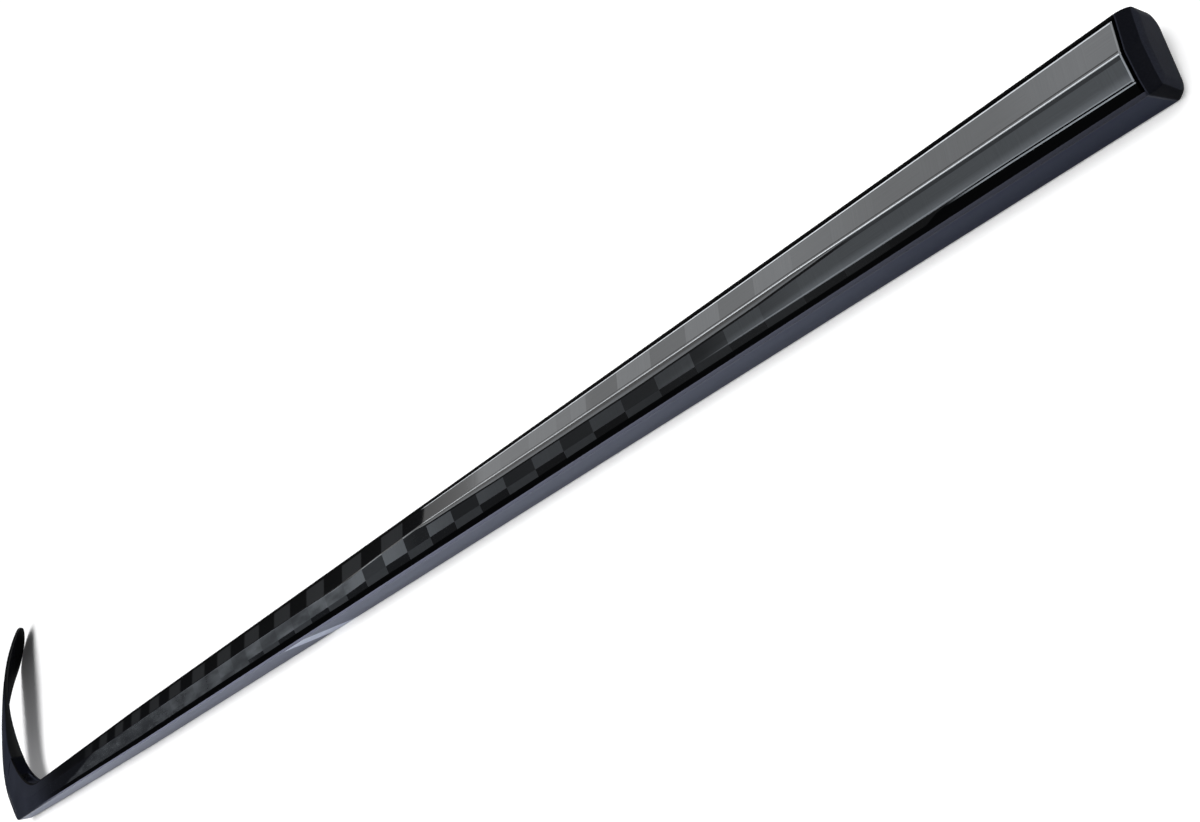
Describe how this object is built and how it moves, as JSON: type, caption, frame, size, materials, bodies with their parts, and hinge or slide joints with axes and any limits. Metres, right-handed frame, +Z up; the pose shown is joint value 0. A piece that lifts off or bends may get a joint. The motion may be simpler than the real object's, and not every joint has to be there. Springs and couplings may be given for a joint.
{
  "type": "ice hockey stick",
  "caption": "Left-handed composite ice hockey stick: long hollow shaft with a low spine, push-in butt cap, smooth tapered hosel and curved blade.",
  "frame": {"origin": "middle of the footprint, on the floor that the stick lies on", "axes": "+X along the shaft from the heel to the butt end, +Y towards the toe of the blade, +Z up, with the convex backhand side of the blade facing up and the lower heel-side edge of the shaft and the toe on the floor"},
  "size_m": [1.7028, 0.2706, 0.0411],
  "materials": {
    "carbon_gloss": "clear-coated carbon laminate, near black, with a faint chequer of wide flat tows",
    "blade_carbon": "smooth black clear-coated laminate",
    "cap_plastic": "satin moulded black",
    "raw_carbon": "uncoated carbon laminate, hidden",
    "foam": "closed-cell structural foam, hidden",
    "edge_resin": "smooth black resin edge"
  },
  "bodies": {
    "root": {"shaft_tube": "carbon_gloss", "butt_cap": "cap_plastic", "hosel_tenon": "raw_carbon", "bore_foam_plug": "foam", "hosel_shell": "carbon_gloss", "heel_core": "foam", "blade_backhand_skin": "blade_carbon", "blade_forehand_skin": "blade_carbon", "blade_edge_band": "edge_resin", "blade_lower_core": "foam", "blade_upper_core": "foam", "blade_spar": "raw_carbon"}
  },
  "joints": []
}
